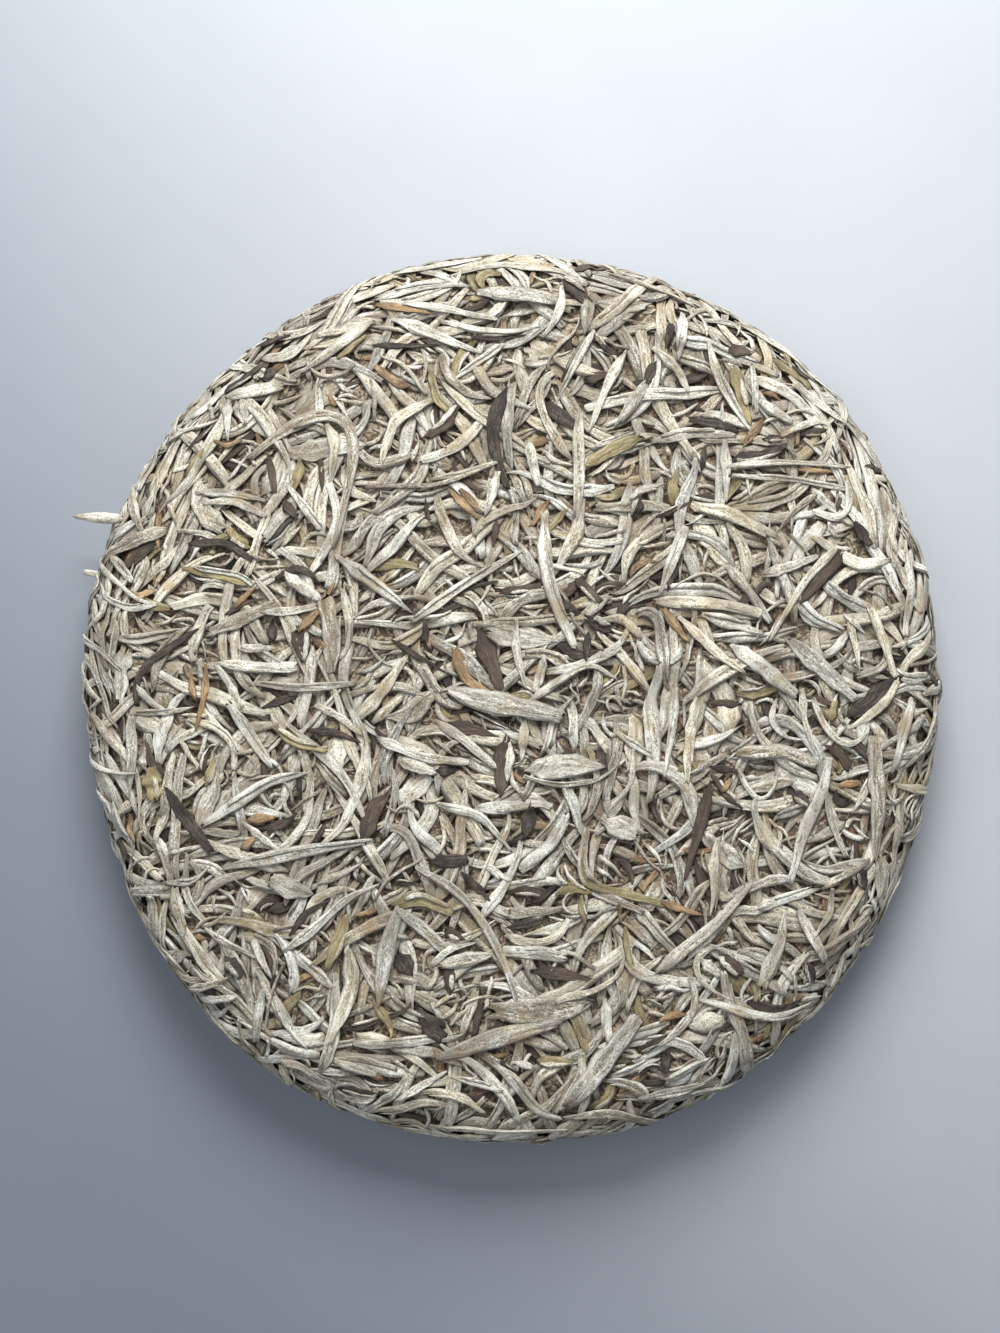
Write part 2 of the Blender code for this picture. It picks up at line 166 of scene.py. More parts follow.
# Share of the buds dropped first, which show in the gaps, and of each kind among them, the others and crumbs
EARLY_SHARE = 0.6
EARLY_MIX = {"bud": 0.46, "sheet": 0.07, "chip": 0.19, "dark": 0.14, "olive": 0.06, "tan": 0.05, "stem": 0.03}
LATE_MIX = {"bud": 0.63, "sheet": 0.06, "chip": 0.23, "dark": 0.03, "olive": 0.01, "tan": 0.01, "stem": 0.03}
CRUMB_MIX = {"chip": 0.74, "dark": 0.06, "tan": 0.06, "olive": 0.07, "stem": 0.07}

# Points along a bud's middle line, how far along each one is, and the places across it where the bud rests
FINE = 56
ALONG = np.linspace(0.0, 1.0, FINE)
ACROSS = np.linspace(-0.92, 0.92, 7)

# Cells and margin of the map, and how a bud lies on it: on the highest of a few points to each side, smoothed
# over a few more, with its middle a share of its thickness above them
CELL, MARGIN = 0.5, 22.0
HOLD, SMOOTH, SINK = 3, 9, 0.36

# How much a bud kinks, waves for its bow, and varies in width and in thickness
KINK, WAVE, UNEVEN = 0.24, 0.3, 0.21
THICK_RANGE, LEAST_RISE = (0.8, 1.2), 0.15

# Hooked buds: their share, how far they turn, and the start and length of the hook
HOOK_SHARE, HOOK_TURN, HOOK_START, HOOK_LENGTH = 0.25, 1.4, 0.68, 0.32

# Shares of the buds that have split off a sliver, and its width for theirs
SPLIT_SHARE = {"bud": 0.75, "dark": 0.45, "olive": 0.45}
SPLIT_WIDTH = (0.3, 0.5)

# Spread of sizes within a kind, greatest crumb, places tried for a bud and a crumb, and where along it
SIZE_SPREAD, CRUMB_SIZE = (1.8, 2.8), 0.45
PLACE_TRIES, CRUMB_TRIES = 12, 40
TRIED = np.linspace(-0.45, 0.45, 7)

# Share of the buds that lie much the same way as those near them, how far they stray from it, and how far
# those on the rim stray from its direction. The way is a sum of waves: the turn that each gives, and its
# phase for a millimetre of x, of y, and in the middle
GRAIN_SHARE, GRAIN_LEAN, RIM_LEAN = 0.5, 0.5, 0.7
GRAIN_TURN, GRAIN_WAVES = 2.2, ((0.13, 0.07, 1.0), (-0.09, 0.15, 4.0))

# How much darker or paler the buds of one patch are, and the waves that make the patches
PATCH_TONE, PATCH_WAVES = 0.36, ((0.21, 0.17, 2.0), (0.15, -0.24, 0.5))

Bud = namedtuple("Bud", "kind x y across half_width rise middle tone hue seed")


class Bed:
    """Height map of one unrolled side of the cake, on which buds are dropped."""

    def __init__(self, reach):
        self.reach = reach
        self.count = int(2.0 * reach / CELL) + 2
        self.height = np.zeros((self.count, self.count))
        self.owner = np.full((self.count, self.count), -1)

    def cells(self, *places):
        """Columns and rows of the cells at places x and y."""
        last = self.count - 1
        return tuple(np.clip(np.rint((each + self.reach) / CELL).astype(int), 0, last) for each in places)

    def lay(self, line_x, line_y, across, half_width, rise, number):
        """Drops a bud on the map and gives the height of its middle line."""
        cells = self.cells(*[
            line[:, None] + out[:, None] * half_width[:, None] * ACROSS
            for line, out in ((line_x, across[0]), (line_y, across[1]))
        ])
        under = self.height[cells]
        base = 0.5 * (under.max(axis=1) + under.mean(axis=1))
        base = running_mean(widest_near(base, HOLD), SMOOTH)
        middle = base + SINK * rise
        top = middle[:, None] + rise[:, None] * np.sqrt(1.0 - ACROSS**2)
        over = top > self.height[cells]
        np.maximum.at(self.height, cells, top)
        self.owner[cells[0][over], cells[1][over]] = number
        return middle

    def shown_cells(self, count):
        """How many cells of the map each of the buds shows in."""
        return np.bincount(self.owner[self.owner >= 0], minlength=count)


def widest_near(values, reach):
    """Greatest of the values near each one."""
    padded = np.pad(values, reach, mode="edge")
    return np.max([padded[i : i + len(values)] for i in range(2 * reach + 1)], axis=0)


def running_mean(values, width):
    padded = np.pad(values, width // 2, mode="edge")
    return np.convolve(padded, np.full(width, 1.0 / width), mode="valid")[: len(values)]


def blurred(values, inside, spread):
    """Mean round each cell of a map, weighted with a bell curve of the given spread in cells."""
    reach = int(3 * spread)
    bell = np.exp(-0.5 * (np.arange(-reach, reach + 1) / spread) ** 2)

    def blur(layer):
        for axis in (0, 1):
            layer = np.apply_along_axis(np.convolve, axis, layer, bell, mode="same")
        return layer

    return blur(values * inside) / np.maximum(blur(inside), 1e-6)


def drifting(rng, knots):
    """Slowly changing random values between -1 and 1 along a bud."""
    return np.interp(ALONG, np.linspace(0.0, 1.0, knots), rng.uniform(-1.0, 1.0, knots))


def ramp(share, start, length):
    """Goes from 0 at the start to 1 a length further on."""
    return np.clip((share - start) / length, 0.0, 1.0)


def bud_line(x, y, heading, length, bend, wave, hook, rng):
    """Middle line of a bud that bows, waves, kinks and hooks, with its middle at x, y."""
    turn = heading + bend * (ALONG - 0.5) * 2.0 + wave * np.sin(2.0 * math.pi * ALONG)
    turn = turn + hook * ramp(ALONG, HOOK_START, HOOK_LENGTH) ** 1.5 + KINK * drifting(rng, 6)
    steps = [part(turn[:-1]) * (length / (FINE - 1)) for part in (np.cos, np.sin)]
    line_x, line_y = [np.concatenate([[0.0], np.cumsum(step)]) for step in steps]
    return line_x + x - line_x.mean(), line_y + y - line_y.mean()


def seen_line(places):
    """Smooth middle line through the places seen in the photograph."""
    points = np.array([chart_place(place) for place in places])
    steps = np.concatenate([[0.0], np.cumsum(np.hypot(*np.diff(points, axis=0).T))])
    along = np.linspace(0.0, steps[-1], FINE)
    line = [np.interp(along, steps, points[:, i]) for i in (0, 1)]
    if len(places) > 2:
        line = [with_ends_of(values, running_mean(values, FINE // 4 | 1)) for values in line]
    return line


def with_ends_of(sharp, smooth):
    """Smoothed values moved back to the first and last sharp one."""
    return smooth + (sharp[0] - smooth[0]) * (1.0 - ALONG) ** 3 + (sharp[-1] - smooth[-1]) * ALONG**3


def split_line(line_x, line_y, across, half_width, rng):
    """Middle line of a sliver that has split off along one side of a bud and leans away from it."""
    part = np.linspace(rng.uniform(0.0, 0.3), rng.uniform(0.65, 1.0), FINE)
    side = rng.choice([-1.0, 1.0])
    beside = rng.uniform(0.35, 0.6) * np.interp(part, ALONG, half_width)
    aside = side * (beside + rng.uniform(0.0, 1.0) * part**2)
    return [np.interp(part, ALONG, line) + aside * np.interp(part, ALONG, out)
            for line, out in ((line_x, across[0]), (line_y, across[1]))]


def across_line(line_x, line_y):
    """Unit steps to the left of a line."""
    along_x, along_y = np.gradient(line_x), np.gradient(line_y)
    size = np.maximum(np.hypot(along_x, along_y), 1e-9)
    return -along_y / size, along_x / size


# Outline of a bud: its foot, where it is wide, how it tapers, the share of buds that have lost their tip and
# how much of them is left, and the least width for the greatest
FOOT_RANGE, SWELL_RANGE, TAPER_RANGE = (0.6, 1.3), (0.15, 0.45), (0.40, 0.85)
BROKEN_SHARE, BROKEN_RANGE = 0.35, (0.72, 0.9)
LEAST_WIDTH = 0.06


def bud_outline(kind, width, rng):
    """Half width along a bud or scale, from its foot to its tip. Some have lost their tip."""
    if kind == "stem":
        return 0.5 * width * (0.8 + 0.2 * drifting(rng, 7)) * (1.0 - 0.7 * ALONG**8)
    foot = KINDS[kind].blunt * rng.uniform(*FOOT_RANGE)
    taper = rng.uniform(*TAPER_RANGE)
    whole = rng.uniform(*BROKEN_RANGE) if rng.uniform() < BROKEN_SHARE else 1.0
    swell = ramp(ALONG, 0.0, rng.uniform(*SWELL_RANGE))
    shape = foot + (1.0 - foot) * (3.0 * swell**2 - 2.0 * swell**3)
    shape = shape * (1.0 - (whole * ALONG) ** 1.8) ** taper * (1.0 + UNEVEN * drifting(rng, 9))
    return 0.5 * width * np.maximum(shape / shape.max(), LEAST_WIDTH)


def look(kind, tone, hue):
    """Notes what the photograph shows: its look, its width, and x,y of a few places along its middle."""
    return lambda width, *numbers: (kind, tone, hue, width, list(zip(numbers[::2], numbers[1::2])))


# Looks: kind, tone from grey to white, and hue from silvery to creamy
WHITE, CREAM, PALE = look("bud", 0.95, 0.25), look("bud", 0.90, 0.9), look("bud", 0.65, 0.5)
GREY, TAUPE, TWIG = look("bud", 0.25, 0.2), look("bud", 0.0, 0.8), look("stem", 0.0, 1.0)
WIDE, DULL = look("sheet", 0.6, 0.4), look("sheet", 0.0, 0.7)
BLACK, BROWN = look("dark", 0.0, 0.5), look("dark", 0.9, 0.5)
OLIVE, OCHRE = look("olive", 0.6, 0.5), look("olive", 1.0, 1.0)
TAN, RUST = look("tan", 0.7, 0.5), look("tan", 0.1, 0.5)

# What the photograph shows on the top, in its pixels. It is dropped last and in this order
SEEN = (
    # dark scales and gaps
    BLACK(10, 222,391, 240,378, 262,363), BLACK(13, 262,377, 276,371), BLACK(9, 255,346, 290,335),
    BLACK(8, 268,541, 285,521, 298,513), BROWN(12, 283,500, 297,519), BROWN(8, 268,455, 272,475, 274,493),
    BROWN(7, 321,459, 322,491), BLACK(8, 188,544, 223,541, 252,560),
    BLACK(8, 275,578, 295,567, 312,573, 319,586), BROWN(23, 302,625, 302,662), BLACK(13, 271,622, 272,642),
    BLACK(8, 262,708, 280,700, 298,696), BLACK(9, 308,730, 335,732, 361,743),
    BROWN(6, 225,615, 242,603, 262,598), BLACK(8, 198,629, 172,646, 143,666, 133,685, 136,704),
    BLACK(10, 88,742, 94,757), BLACK(14, 166,788, 186,820, 211,852), BLACK(10, 303,776, 300,795),
    BROWN(18, 363,838, 374,806, 390,795), BLACK(8, 308,850, 325,825), BLACK(7, 472,337, 500,338, 526,334),
    BLACK(7, 373,344, 405,345, 440,344), BLACK(19, 563,277, 578,290, 588,302),
    BLACK(11, 592,333, 577,357, 561,381), BLACK(14, 546,398, 556,413, 576,426), BLACK(8, 600,344, 619,353),
    BLACK(11, 656,360, 646,386), BROWN(14, 585,380, 608,372), BLACK(14, 640,498, 634,517),
    BROWN(16, 457,405, 446,424, 425,437), RUST(9, 461,490, 481,511), BROWN(9, 497,521, 493,547),
    BLACK(5, 425,498, 428,518, 441,531), BLACK(10, 672,322, 666,349), BLACK(12, 690,418, 715,422, 739,431),
    BLACK(15, 734,458, 760,456, 787,444), BLACK(9, 764,439, 787,436), BROWN(13, 729,350, 756,350),
    BLACK(7, 706,444, 702,471), BLACK(10, 802,433, 828,429), BLACK(9, 842,487, 838,511),
    BLACK(13, 855,522, 871,545), BLACK(8, 686,290, 726,310), BLACK(8, 795,365, 817,381),
    BROWN(8, 657,516, 690,502), BROWN(20, 842,551, 824,574, 801,602), BLACK(10, 682,556, 667,591),
    BROWN(9, 500,592, 541,585), BLACK(16, 588,618, 613,632), BLACK(9, 560,601, 581,613),
    BROWN(11, 576,578, 601,601), BLACK(7, 415,618, 445,596, 478,584, 497,581),
    BROWN(22, 481,633, 490,660, 501,690), BLACK(7, 392,640, 420,658, 450,675), BLACK(8, 425,622, 427,642),
    BROWN(15, 449,724, 496,736), BLACK(9, 375,729, 395,748, 430,761, 471,757),
    BLACK(7, 470,709, 495,721, 520,733), BLACK(13, 436,771, 458,768), BROWN(24, 507,738, 503,770, 501,796),
    BLACK(13, 561,756, 577,758), BLACK(12, 600,748, 605,776), BLACK(15, 532,806, 525,838),
    BLACK(8, 589,632, 586,661), BLACK(10, 712,767, 741,772), BROWN(16, 711,785, 700,830, 684,882),
    BLACK(14, 793,792, 812,806), BLACK(12, 855,742, 872,760), BLACK(24, 900,678, 880,697, 850,717),
    BLACK(15, 430,862, 467,859), BLACK(8, 462,873, 491,902), BLACK(20, 398,955, 412,976),
    BLACK(9, 507,929, 542,921), BROWN(12, 449,968, 450,996), BROWN(13, 530,971, 592,979),
    BLACK(18, 226,958, 246,979), BLACK(8, 289,936, 304,914, 330,900), BLACK(16, 421,1022, 444,1039),
    BLACK(8, 340,1091, 376,1095), BLACK(10, 639,1052, 667,1034), BLACK(12, 668,1053, 666,1075),
    BLACK(13, 808,965, 816,984), BLACK(10, 750,1004, 784,1012, 803,1002), BROWN(15, 722,956, 742,975),
    BLACK(13, 860,868, 866,890), BLACK(7, 500,1062, 520,1076), BROWN(14, 445,930, 465,940),
    # olive, ochre, tan and rust coloured leaves
    OLIVE(8, 338,357, 366,333), OLIVE(11, 186,474, 204,449), OCHRE(10, 183,568, 210,573, 246,584),
    DULL(15, 208,632, 238,620, 275,603), OCHRE(12, 274,727, 296,743, 326,751), OCHRE(22, 150,772, 156,799),
    OCHRE(12, 205,787, 213,757), OLIVE(9, 430,369, 437,400, 447,410), OCHRE(15, 734,366, 742,398, 751,424),
    OLIVE(16, 640,438, 612,450, 588,464), OLIVE(15, 392,907, 420,898, 452,913),
    OCHRE(15, 346,918, 338,945, 325,972), OLIVE(10, 586,885, 625,893, 668,906),
    OCHRE(15, 537,1062, 572,1062), OCHRE(10, 832,722, 835,702), DULL(21, 875,738, 879,790, 876,862),
    OLIVE(9, 626,928, 631,968), OLIVE(9, 766,1042, 771,1025), TAN(8, 235,607, 247,593, 257,586),
    TAN(9, 298,631, 315,614, 325,599, 334,582), TAN(9, 205,664, 206,692, 195,731), TAN(8, 190,679, 196,703),
    TAN(16, 455,648, 465,679, 493,697), TAN(11, 664,608, 678,627, 690,642), TAN(11, 246,820, 274,818),
    TAN(11, 241,850, 256,836), TAN(9, 374,302, 404,308, 432,313), TAN(8, 449,489, 478,518),
    RUST(10, 764,419, 744,446), RUST(7, 215,441, 228,446, 241,438), RUST(6, 619,902, 621,924),
    TAN(6, 798,469, 832,471), TAN(7, 722,792, 733,778), TAN(8, 768,663, 776,684), TAN(9, 662,902, 703,916),
    # larger pale buds and leaves, from the top of the photograph to the bottom
    WHITE(10, 395,272, 440,264, 482,258), GREY(11, 375,297, 420,285, 470,283),
    PALE(9, 600,268, 650,285, 700,305), GREY(14, 480,291, 520,294, 557,300),
    WHITE(8, 404,302, 450,309, 497,319), WHITE(9, 740,322, 790,353, 842,402),
    WHITE(13, 393,318, 438,335, 482,353), WHITE(7, 440,320, 480,330, 510,332, 541,325),
    WHITE(10, 561,283, 563,300, 557,318, 542,337), GREY(14, 590,300, 585,333),
    WHITE(8, 594,331, 581,354, 562,390, 557,402), WHITE(9, 502,345, 480,360, 453,380),
    PALE(13, 371,321, 340,344, 300,373), PALE(13, 283,386, 255,390, 224,395), WHITE(13, 228,401, 227,440),
    WIDE(20, 241,401, 244,424), PALE(8, 164,443, 192,426, 221,419),
    TAUPE(9, 441,354, 447,375, 468,394, 492,398), PALE(12, 626,351, 607,385, 589,431),
    WHITE(13, 684,312, 679,360), PALE(11, 655,347, 679,369, 689,392),
    WHITE(10, 709,342, 718,375, 735,405, 751,431), GREY(9, 753,364, 758,411), WHITE(12, 758,399, 792,421),
    PALE(11, 795,384, 852,427), GREY(12, 646,384, 614,427), PALE(12, 655,440, 690,432, 737,435),
    WHITE(12, 725,440, 727,465, 727,502), PALE(7, 595,446, 636,431),
    PALE(7, 782,436, 800,425, 825,418, 834,426, 829,441, 814,444),
    GREY(15, 513,381, 508,400, 507,440, 512,468), BLACK(14, 507,388, 494,415, 492,443, 500,467, 507,488),
    WHITE(12, 528,439, 538,484), PALE(13, 581,411, 578,440, 580,470, 577,521),
    PALE(7, 430,479, 465,473, 497,462), TWIG(6, 365,487, 400,486, 440,486, 474,471, 497,463),
    WHITE(10, 498,474, 485,517), WHITE(9, 630,499, 640,489, 666,483), CREAM(14, 326,424, 336,440, 330,481),
    TAUPE(13, 250,457, 280,431, 310,412, 340,407, 357,422, 357,450, 345,500, 334,548),
    WHITE(9, 286,484, 303,505, 319,529), GREY(9, 195,492, 230,493, 266,500),
    WHITE(9, 204,502, 235,500, 266,516), PALE(7, 730,475, 790,478, 851,490),
    PALE(8, 729,466, 780,461, 852,466), WHITE(9, 847,479, 852,503, 842,520, 814,511),
    CREAM(16, 694,505, 730,512, 777,536), TAUPE(7, 817,494, 795,510, 779,531), WHITE(13, 112,557, 131,581),
    WHITE(7, 100,554, 108,575, 125,590, 135,603, 156,603), WHITE(7, 98,582, 108,600, 130,610, 156,604),
    WHITE(8, 82,633, 100,650, 119,671), PALE(9, 84,675, 82,697, 88,719), WHITE(6, 194,567, 240,575, 251,585),
    WHITE(14, 285,574, 303,588, 320,599), WHITE(15, 338,557, 375,583, 412,613),
    WHITE(9, 262,612, 290,611, 316,606), DULL(18, 325,598, 333,640, 331,672),
    PALE(11, 313,649, 310,680, 300,726), WHITE(13, 219,663, 258,667, 296,666), WHITE(9, 239,648, 280,648),
    WHITE(10, 215,663, 228,683, 242,707), WHITE(12, 229,703, 248,733, 271,768),
    PALE(9, 257,683, 300,688, 356,683), WHITE(9, 137,687, 150,703, 166,713),
    PALE(8, 134,713, 170,712, 193,707), PALE(9, 317,705, 342,718, 362,736),
    WHITE(8, 87,751, 99,768, 120,775, 138,773), WHITE(14, 203,824, 240,800, 270,780, 308,773),
    WHITE(9, 241,821, 262,838, 281,852), WIDE(24, 490,629, 522,637, 556,641),
    PALE(9, 517,619, 516,650, 526,688), WHITE(11, 411,621, 450,593, 521,551),
    WHITE(14, 545,512, 545,564, 556,605, 575,647), PALE(11, 545,655, 535,692),
    PALE(9, 529,701, 558,681, 590,661, 618,680), GREY(24, 448,689, 480,700, 520,706, 562,716),
    PALE(10, 436,722, 465,740, 497,768), WHITE(11, 378,738, 420,757, 468,762), PALE(14, 400,760, 437,773),
    WIDE(26, 530,770, 565,764, 604,766), PALE(6, 524,776, 558,786, 600,781, 619,764),
    WHITE(7, 634,750, 632,785, 608,812), PALE(18, 603,820, 637,836), WHITE(10, 437,804, 480,814, 512,852),
    PALE(10, 525,720, 522,762), WHITE(12, 685,528, 672,562, 659,597),
    PALE(10, 836,549, 805,580, 790,606, 769,642), PALE(12, 764,574, 800,563, 817,556),
    GREY(11, 729,566, 750,591, 771,622), CREAM(13, 655,601, 720,603, 760,613),
    PALE(14, 699,613, 730,622, 764,634), CREAM(11, 680,617, 700,635, 720,655, 747,674),
    WHITE(16, 734,646, 760,665, 797,695), GREY(21, 788,638, 820,665, 856,699),
    CREAM(9, 849,620, 858,650, 860,672), CREAM(10, 869,604, 884,638, 896,677),
    WHITE(11, 907,548, 912,590, 906,636), WHITE(6, 845,615, 867,634), PALE(9, 803,689, 805,720, 814,752),
    CREAM(10, 898,681, 886,703, 868,717, 850,729), PALE(8, 814,699, 825,725, 838,742, 852,747, 868,733),
    WHITE(7, 778,699, 770,720, 785,738, 804,740), WHITE(12, 915,699, 905,730, 893,775),
    WHITE(11, 899,786, 935,791), TAUPE(15, 738,753, 785,750, 817,765),
    WHITE(6, 739,769, 748,790, 762,803, 775,790, 778,774), CREAM(12, 698,699, 690,740, 687,782),
    WHITE(10, 677,689, 672,740, 664,777), WHITE(13, 829,758, 825,790, 805,830, 790,883),
    PALE(9, 827,792, 835,830, 848,857), WHITE(9, 618,733, 653,758), GREY(14, 223,868, 300,851, 374,841),
    WHITE(8, 165,883, 193,882, 209,867), CREAM(13, 174,889, 183,938), PALE(7, 204,929, 230,945, 257,959),
    WHITE(9, 252,939, 262,963, 271,978), TAUPE(10, 186,989, 214,983, 232,977), WHITE(11, 198,1000, 237,997),
    GREY(11, 255,1042, 258,1010, 263,988), WIDE(20, 269,879, 311,894),
    WHITE(11, 284,951, 318,925, 348,896, 380,884), WHITE(8, 318,884, 345,873, 360,864),
    CREAM(18, 348,948, 353,985, 342,1012, 329,1043), WHITE(9, 274,996, 289,1028, 307,1050),
    TWIG(4, 284,963, 272,990, 264,1032), WHITE(12, 281,1064, 300,1068, 322,1082),
    GREY(17, 399,908, 386,950, 378,1008), GREY(12, 400,911, 424,930, 447,952), WHITE(9, 486,866, 508,881),
    PALE(16, 440,965, 492,955), WHITE(8, 431,966, 448,949, 477,943),
    GREY(10, 418,869, 460,889, 490,930, 511,974, 518,1008), DULL(26, 494,1011, 540,1012, 592,1002),
    WHITE(14, 504,951, 540,952, 568,961), CREAM(10, 506,936, 535,945, 560,938, 569,920),
    CREAM(9, 556,1003, 566,993, 588,994, 611,984, 625,968, 622,944), PALE(12, 605,999, 610,1042),
    PALE(14, 660,971, 690,945, 720,920, 752,884), WHITE(11, 759,908, 790,897, 823,889),
    CREAM(12, 719,838, 713,868, 716,890, 711,917), TAUPE(9, 823,889, 845,875, 862,866),
    PALE(17, 762,989, 769,968, 780,945, 786,912), PALE(12, 799,911, 812,935, 826,962),
    PALE(8, 833,889, 832,914, 814,939), WHITE(9, 847,957, 864,936, 875,924),
    PALE(7, 714,948, 697,955, 695,975, 710,990, 732,1001), PALE(14, 702,961, 720,975),
    WHITE(10, 699,1001, 725,1005, 750,1015, 780,1018, 814,1004), GREY(22, 568,1107, 600,1068, 638,1018),
    GREY(20, 437,1058, 500,1036, 563,1020), PALE(12, 493,1064, 513,1077, 533,1108, 560,1121),
    WHITE(8, 515,1063, 533,1069), WHITE(9, 396,1101, 424,1085, 447,1072), WHITE(8, 453,1077, 502,1091),
    PALE(10, 335,1062, 376,1076), WHITE(10, 668,1082, 690,1070, 712,1059),
    PALE(7, 690,975, 698,1000, 689,1025, 658,1045), GREY(12, 640,1100, 707,1085),
    PALE(9, 430,1128, 500,1134, 570,1131),
)


# A side of the cake: how far its buds reach, which is past the seam, how far it is flat, the number of buds
# and of crumbs, and what is seen. Then how it is pressed: how far buds may rise over their level, how much of
# their relief is left, and how far the level lies below the skin
OVERLAP = 5.0
Side = namedtuple("Side", "reach flat buds crumbs seen top relief below")
TOP = Side(SEAM + OVERLAP, FLAT_TOP, 1900, 520, SEEN, 0.7, 0.58, 0.0)
UNDER = Side(TOTAL_LENGTH - SEAM + OVERLAP, FLAT_UNDER, 1300, 200, (), 0.5, 0.36, 0.5)


def free_place(bed, side, length, tries, rng):
    """Place and heading of one more bud: the lowest of a few random ones. Near ones lie much the same way."""
    distance = np.sqrt(rng.uniform(0.0, 1.0, tries)) * side.reach
    bearing = rng.uniform(-math.pi, math.pi, tries)
    x, y = distance * np.cos(bearing), distance * np.sin(bearing)
    grain = sum(GRAIN_TURN * np.sin(a * x + b * y + start) for a, b, start in GRAIN_WAVES)
    heading = np.where(rng.uniform(0.0, 1.0, tries) < GRAIN_SHARE, grain + rng.normal(0.0, GRAIN_LEAN, tries),
                       rng.uniform(0.0, 2.0 * math.pi, tries))
    round_rim = bearing + 0.5 * math.pi + rng.normal(0.0, RIM_LEAN, tries)
    heading = np.where(distance > side.flat, round_rim, heading) + math.pi * rng.integers(0, 2, tries)
    run = TRIED * length
    run_x, run_y = np.cos(heading)[:, None] * run, np.sin(heading)[:, None] * run
    cells = bed.cells(x[:, None] + run_x, y[:, None] + run_y)
    best = int(bed.height[cells].mean(axis=1).argmin())
    return x[best], y[best], heading[best]


def drop_buds(bed, side, rng):
    """Drops random buds, crumbs into the deepest gaps, and what the photograph shows. Gives all of them."""
    buds = []

    def drop(kind, line, width, tone, hue):
        across = across_line(*line)
        half_width = bud_outline(kind, width, rng)
        rise = half_width * KINDS[kind].thick * rng.uniform(*THICK_RANGE) + LEAST_RISE
        middle = bed.lay(*line, across, half_width, rise, len(buds))
        buds.append(Bud(kind, *line, across, half_width, rise, middle, tone, hue, rng.uniform(0.0, 1000.0)))
        if kind in SPLIT_SHARE and rng.uniform() < SPLIT_SHARE[kind]:
            sliver = split_line(*line, across, half_width, rng)
            sliver_tone = min(max(tone + rng.normal(0.0, 0.2), 0.0), 1.0)
            drop("chip", sliver, width * rng.uniform(*SPLIT_WIDTH), sliver_tone, hue)

    def drop_random(mix, size, tries):
        kind = str(rng.choice(list(mix), p=list(mix.values())))
        form = KINDS[kind]
        length = form.length[0] + (form.length[1] - form.length[0]) * size
        width = form.width[0] + (form.width[1] - form.width[0]) * (0.5 * size + 0.5 * rng.uniform())
        x, y, heading = free_place(bed, side, length, tries, rng)
        bend = rng.normal(0.0, form.bow)
        wave = rng.normal(0.0, WAVE * form.bow)
        hook = rng.normal(0.0, HOOK_TURN) if rng.uniform() < HOOK_SHARE else 0.0
        patch = math.prod(math.sin(a * x + b * y + start) for a, b, start in PATCH_WAVES)
        tone = min(max(rng.uniform() + PATCH_TONE * patch, 0.0), 1.0)
        drop(kind, bud_line(x, y, heading, length, bend, wave, hook, rng), width, tone, rng.uniform())

    for number in range(side.buds):
        mix = EARLY_MIX if number < EARLY_SHARE * side.buds else LATE_MIX
        drop_random(mix, rng.beta(*SIZE_SPREAD), PLACE_TRIES)
    for _ in range(side.crumbs):
        drop_random(CRUMB_MIX, CRUMB_SIZE * rng.uniform(), CRUMB_TRIES)
    for kind, tone, hue, width_px, places in side.seen:
        drop(kind, seen_line(places), width_px * PHOTO_SCALE, tone, hue)
    return buds


# How the pile is pressed: the spread of its level and of what is near a place, how deep full painted shade
# lies below them, and how much each counts in the painted shade
PILE_SPREAD, PILE_DEPTH, PILE_SHADE = 7.0, 3.5, 0.45
NEAR_SPREAD, NEAR_DEPTH, NEAR_SHADE = 1.3, 1.3, 0.55

# Which of the heights over the level comes to lie on the skin, in percent, how far past the side's reach the
# pile is taken in, and the share of the relief left at the rim, which is pressed harder
CREST_PERCENT, EDGE = 90.0, 2.0
RIM_RELIEF = 0.6


class Press:
    """Presses the dropped buds level: their heights over the smoothed pile, flattened above and below."""

    def __init__(self, bed, side):
        self.bed, self.side = bed, side
        ticks = np.arange(bed.count) * CELL - bed.reach
        inside = (np.hypot(*np.meshgrid(ticks, ticks, indexing="ij")) < side.reach + EDGE).astype(float)
        self.level = blurred(bed.height, inside, PILE_SPREAD / CELL)
        self.near = blurred(bed.height, inside, NEAR_SPREAD / CELL)
        self.crest = float(np.percentile((bed.height - self.level)[inside > 0], CREST_PERCENT))

    def read(self, values, x, y):
        """Values of a map between its cells."""
        last = self.bed.count - 1.001
        column, row = [np.clip((each + self.bed.reach) / CELL, 0.0, last) for each in (x, y)]
        i, j = column.astype(int), row.astype(int)
        u, v = column - i, row - j
        lower = values[i, j] * (1 - u) + values[i + 1, j] * u
        upper = values[i, j + 1] * (1 - u) + values[i + 1, j + 1] * u
        return lower * (1 - v) + upper * v

    def lift(self, x, y, height):
        """Height over the skin after pressing."""
        side = self.side
        relief = np.interp(np.hypot(x, y), [side.flat, side.reach], [side.relief, RIM_RELIEF * side.relief])
        rise = (height - self.read(self.level, x, y) - self.crest) * relief
        return np.where(rise > 0.0, side.top * np.tanh(rise / side.top), rise) - side.below

    def depth(self, x, y, height):
        """How far down a place lies among what is near it, from 0 to 1. The materials paint it as shade."""
        near = self.read(self.near, x, y) - height
        far = self.read(self.level, x, y) + self.crest - height
        return np.clip(NEAR_SHADE * near / NEAR_DEPTH + PILE_SHADE * far / PILE_DEPTH, 0.0, 1.0)


# Step where an outer scale ends on a bud: its height for the bud's, the least folds of kinds that have one,
# where it lies round the foot, and its slant
STEP, STEP_FOLD = 0.45, 0.12
STEP_PLACE, STEP_SLANT = (0.1, 0.9), (-0.5, 0.5)

# Folds of a bud: how they drift along it, the highest, and how they widen it. Then its underside's thickness
FOLD_DRIFT, FOLD_LIMIT, FOLD_WIDENS = 0.45, 1.6, 0.35
UNDERSIDE = 0.75

